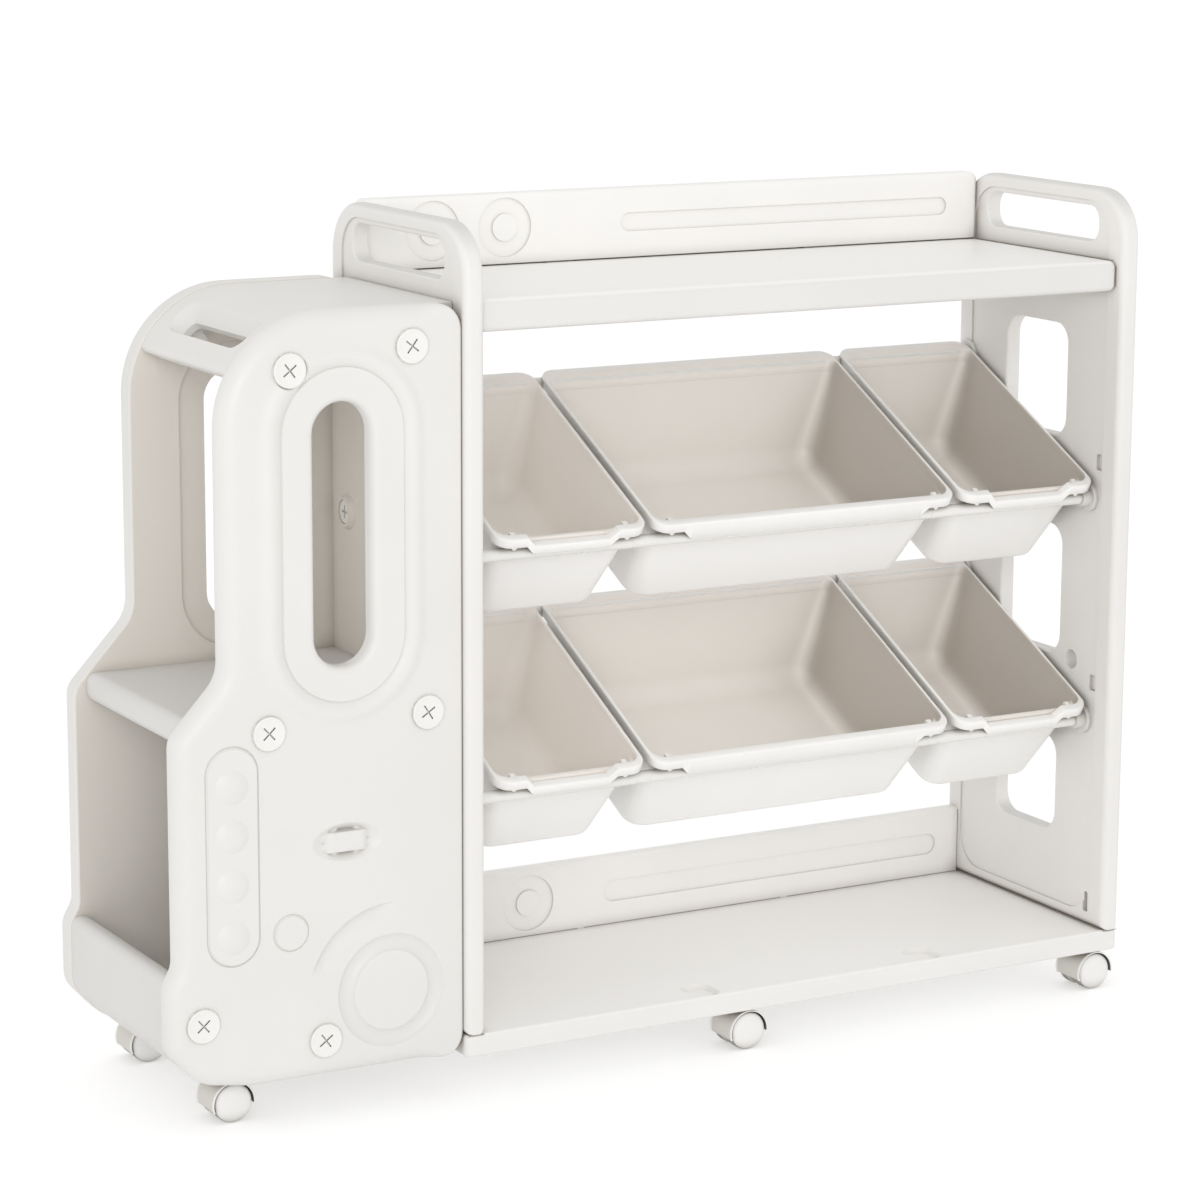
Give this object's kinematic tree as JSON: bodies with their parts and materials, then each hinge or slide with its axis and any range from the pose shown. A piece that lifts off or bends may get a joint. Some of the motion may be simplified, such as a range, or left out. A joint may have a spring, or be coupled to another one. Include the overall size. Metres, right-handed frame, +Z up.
{
  "type": "children's toy rack with tilted bins and a book cab",
  "caption": "Wheeled plastic storage rack for a playroom: two rows of tilted lift-off bins on rods, shelves above and below, and a truck-shaped book bay at the left end.",
  "frame": {"origin": "centre of the bounding box on the floor, under the wheels", "axes": "+X to the right along the rack, away from the book cab; +Y to the back; +Z up"},
  "size_m": [1.022, 0.2772, 0.8],
  "materials": {
    "body_plastic": "satin moulded polyethylene, warm off-white",
    "bin_plastic": "satin moulded polypropylene, light cream",
    "rod_enamel": "white enamelled steel tube",
    "zinc_steel": "zinc plated",
    "wheel_plastic": "moulded tread, pale grey",
    "caster_plastic": "smooth, off-white",
    "socket_plastic": "smooth, pale grey",
    "screw_plastic": "smooth, off-white with a cross recess"
  },
  "bodies": {
    "frame": {"base_plate": "body_plastic", "side_panel_left": "body_plastic", "side_panel_right": "body_plastic", "top_shelf": "body_plastic", "upper_back_board": "body_plastic", "lower_back_board": "body_plastic", "rod_upper_front": "rod_enamel", "rod_upper_back": "rod_enamel", "rod_lower_front": "rod_enamel", "rod_lower_back": "rod_enamel", "rod_end_sockets": "socket_plastic", "shelf_screws": "zinc_steel", "base_screws": "zinc_steel", "cab_front_panel": "body_plastic", "cab_back_panel": "body_plastic", "cab_roof": "body_plastic", "cab_shoulder_shelf": "body_plastic", "cab_floor_tray": "body_plastic", "cab_side_wall": "body_plastic", "cab_front_screws": "screw_plastic", "cab_back_screws": "screw_plastic", "cab_joining_screws": "screw_plastic", "caster_front_left_stem": "zinc_steel", "caster_front_middle_stem": "zinc_steel", "caster_front_right_stem": "zinc_steel", "caster_back_left_stem": "zinc_steel", "caster_back_middle_stem": "zinc_steel", "caster_back_right_stem": "zinc_steel"},
    "bin_upper_left": {"bin_upper_left": "bin_plastic"},
    "bin_upper_middle": {"bin_upper_middle": "bin_plastic"},
    "bin_upper_right": {"bin_upper_right": "bin_plastic"},
    "bin_lower_left": {"bin_lower_left": "bin_plastic"},
    "bin_lower_middle": {"bin_lower_middle": "bin_plastic"},
    "bin_lower_right": {"bin_lower_right": "bin_plastic"},
    "caster_front_left_swivel": {"caster_front_left_hood": "caster_plastic"},
    "caster_front_left_roll": {"caster_front_left_wheels": "wheel_plastic", "caster_front_left_axle": "zinc_steel"},
    "caster_front_middle_swivel": {"caster_front_middle_hood": "caster_plastic"},
    "caster_front_middle_roll": {"caster_front_middle_wheels": "wheel_plastic", "caster_front_middle_axle": "zinc_steel"},
    "caster_front_right_swivel": {"caster_front_right_hood": "caster_plastic"},
    "caster_front_right_roll": {"caster_front_right_wheels": "wheel_plastic", "caster_front_right_axle": "zinc_steel"},
    "caster_back_left_swivel": {"caster_back_left_hood": "caster_plastic"},
    "caster_back_left_roll": {"caster_back_left_wheels": "wheel_plastic", "caster_back_left_axle": "zinc_steel"},
    "caster_back_middle_swivel": {"caster_back_middle_hood": "caster_plastic"},
    "caster_back_middle_roll": {"caster_back_middle_wheels": "wheel_plastic", "caster_back_middle_axle": "zinc_steel"},
    "caster_back_right_swivel": {"caster_back_right_hood": "caster_plastic"},
    "caster_back_right_roll": {"caster_back_right_wheels": "wheel_plastic", "caster_back_right_axle": "zinc_steel"}
  },
  "joints": [
    {"name": "bin_upper_left_lift", "type": "slide", "parent": "frame", "child": "bin_upper_left", "axis": [0, -0.4399, 0.898], "range_m": [0, 0.075]},
    {"name": "bin_upper_middle_lift", "type": "slide", "parent": "frame", "child": "bin_upper_middle", "axis": [0, -0.4399, 0.898], "range_m": [0, 0.075]},
    {"name": "bin_upper_right_lift", "type": "slide", "parent": "frame", "child": "bin_upper_right", "axis": [0, -0.4399, 0.898], "range_m": [0, 0.075]},
    {"name": "bin_lower_left_lift", "type": "slide", "parent": "frame", "child": "bin_lower_left", "axis": [0, -0.4399, 0.898], "range_m": [0, 0.075]},
    {"name": "bin_lower_middle_lift", "type": "slide", "parent": "frame", "child": "bin_lower_middle", "axis": [0, -0.4399, 0.898], "range_m": [0, 0.075]},
    {"name": "bin_lower_right_lift", "type": "slide", "parent": "frame", "child": "bin_lower_right", "axis": [0, -0.4399, 0.898], "range_m": [0, 0.075]},
    {"name": "caster_front_left_swivels", "type": "hinge", "parent": "frame", "child": "caster_front_left_swivel", "pos_m": [-0.444, -0.075, 0.03], "axis": [0, 0, 1], "continuous": true},
    {"name": "caster_front_left_rolls", "type": "hinge", "parent": "caster_front_left_swivel", "child": "caster_front_left_roll", "pos_m": [-0.434, -0.075, 0.0185], "axis": [0, 1, 0], "continuous": true},
    {"name": "caster_front_middle_swivels", "type": "hinge", "parent": "frame", "child": "caster_front_middle_swivel", "pos_m": [0.071, -0.1154, 0.03], "axis": [0, 0, 1], "continuous": true},
    {"name": "caster_front_middle_rolls", "type": "hinge", "parent": "caster_front_middle_swivel", "child": "caster_front_middle_roll", "pos_m": [0.081, -0.1154, 0.0185], "axis": [0, 1, 0], "continuous": true},
    {"name": "caster_front_right_swivels", "type": "hinge", "parent": "frame", "child": "caster_front_right_swivel", "pos_m": [0.477, -0.1154, 0.03], "axis": [0, 0, 1], "continuous": true},
    {"name": "caster_front_right_rolls", "type": "hinge", "parent": "caster_front_right_swivel", "child": "caster_front_right_roll", "pos_m": [0.487, -0.1154, 0.0185], "axis": [0, 1, 0], "continuous": true},
    {"name": "caster_back_left_swivels", "type": "hinge", "parent": "frame", "child": "caster_back_left_swivel", "pos_m": [-0.444, 0.1184, 0.03], "axis": [0, 0, 1], "continuous": true},
    {"name": "caster_back_left_rolls", "type": "hinge", "parent": "caster_back_left_swivel", "child": "caster_back_left_roll", "pos_m": [-0.434, 0.1184, 0.0185], "axis": [0, 1, 0], "continuous": true},
    {"name": "caster_back_middle_swivels", "type": "hinge", "parent": "frame", "child": "caster_back_middle_swivel", "pos_m": [0.071, 0.119, 0.03], "axis": [0, 0, 1], "continuous": true},
    {"name": "caster_back_middle_rolls", "type": "hinge", "parent": "caster_back_middle_swivel", "child": "caster_back_middle_roll", "pos_m": [0.081, 0.119, 0.0185], "axis": [0, 1, 0], "continuous": true},
    {"name": "caster_back_right_swivels", "type": "hinge", "parent": "frame", "child": "caster_back_right_swivel", "pos_m": [0.477, 0.119, 0.03], "axis": [0, 0, 1], "continuous": true},
    {"name": "caster_back_right_rolls", "type": "hinge", "parent": "caster_back_right_swivel", "child": "caster_back_right_roll", "pos_m": [0.487, 0.119, 0.0185], "axis": [0, 1, 0], "continuous": true}
  ]
}
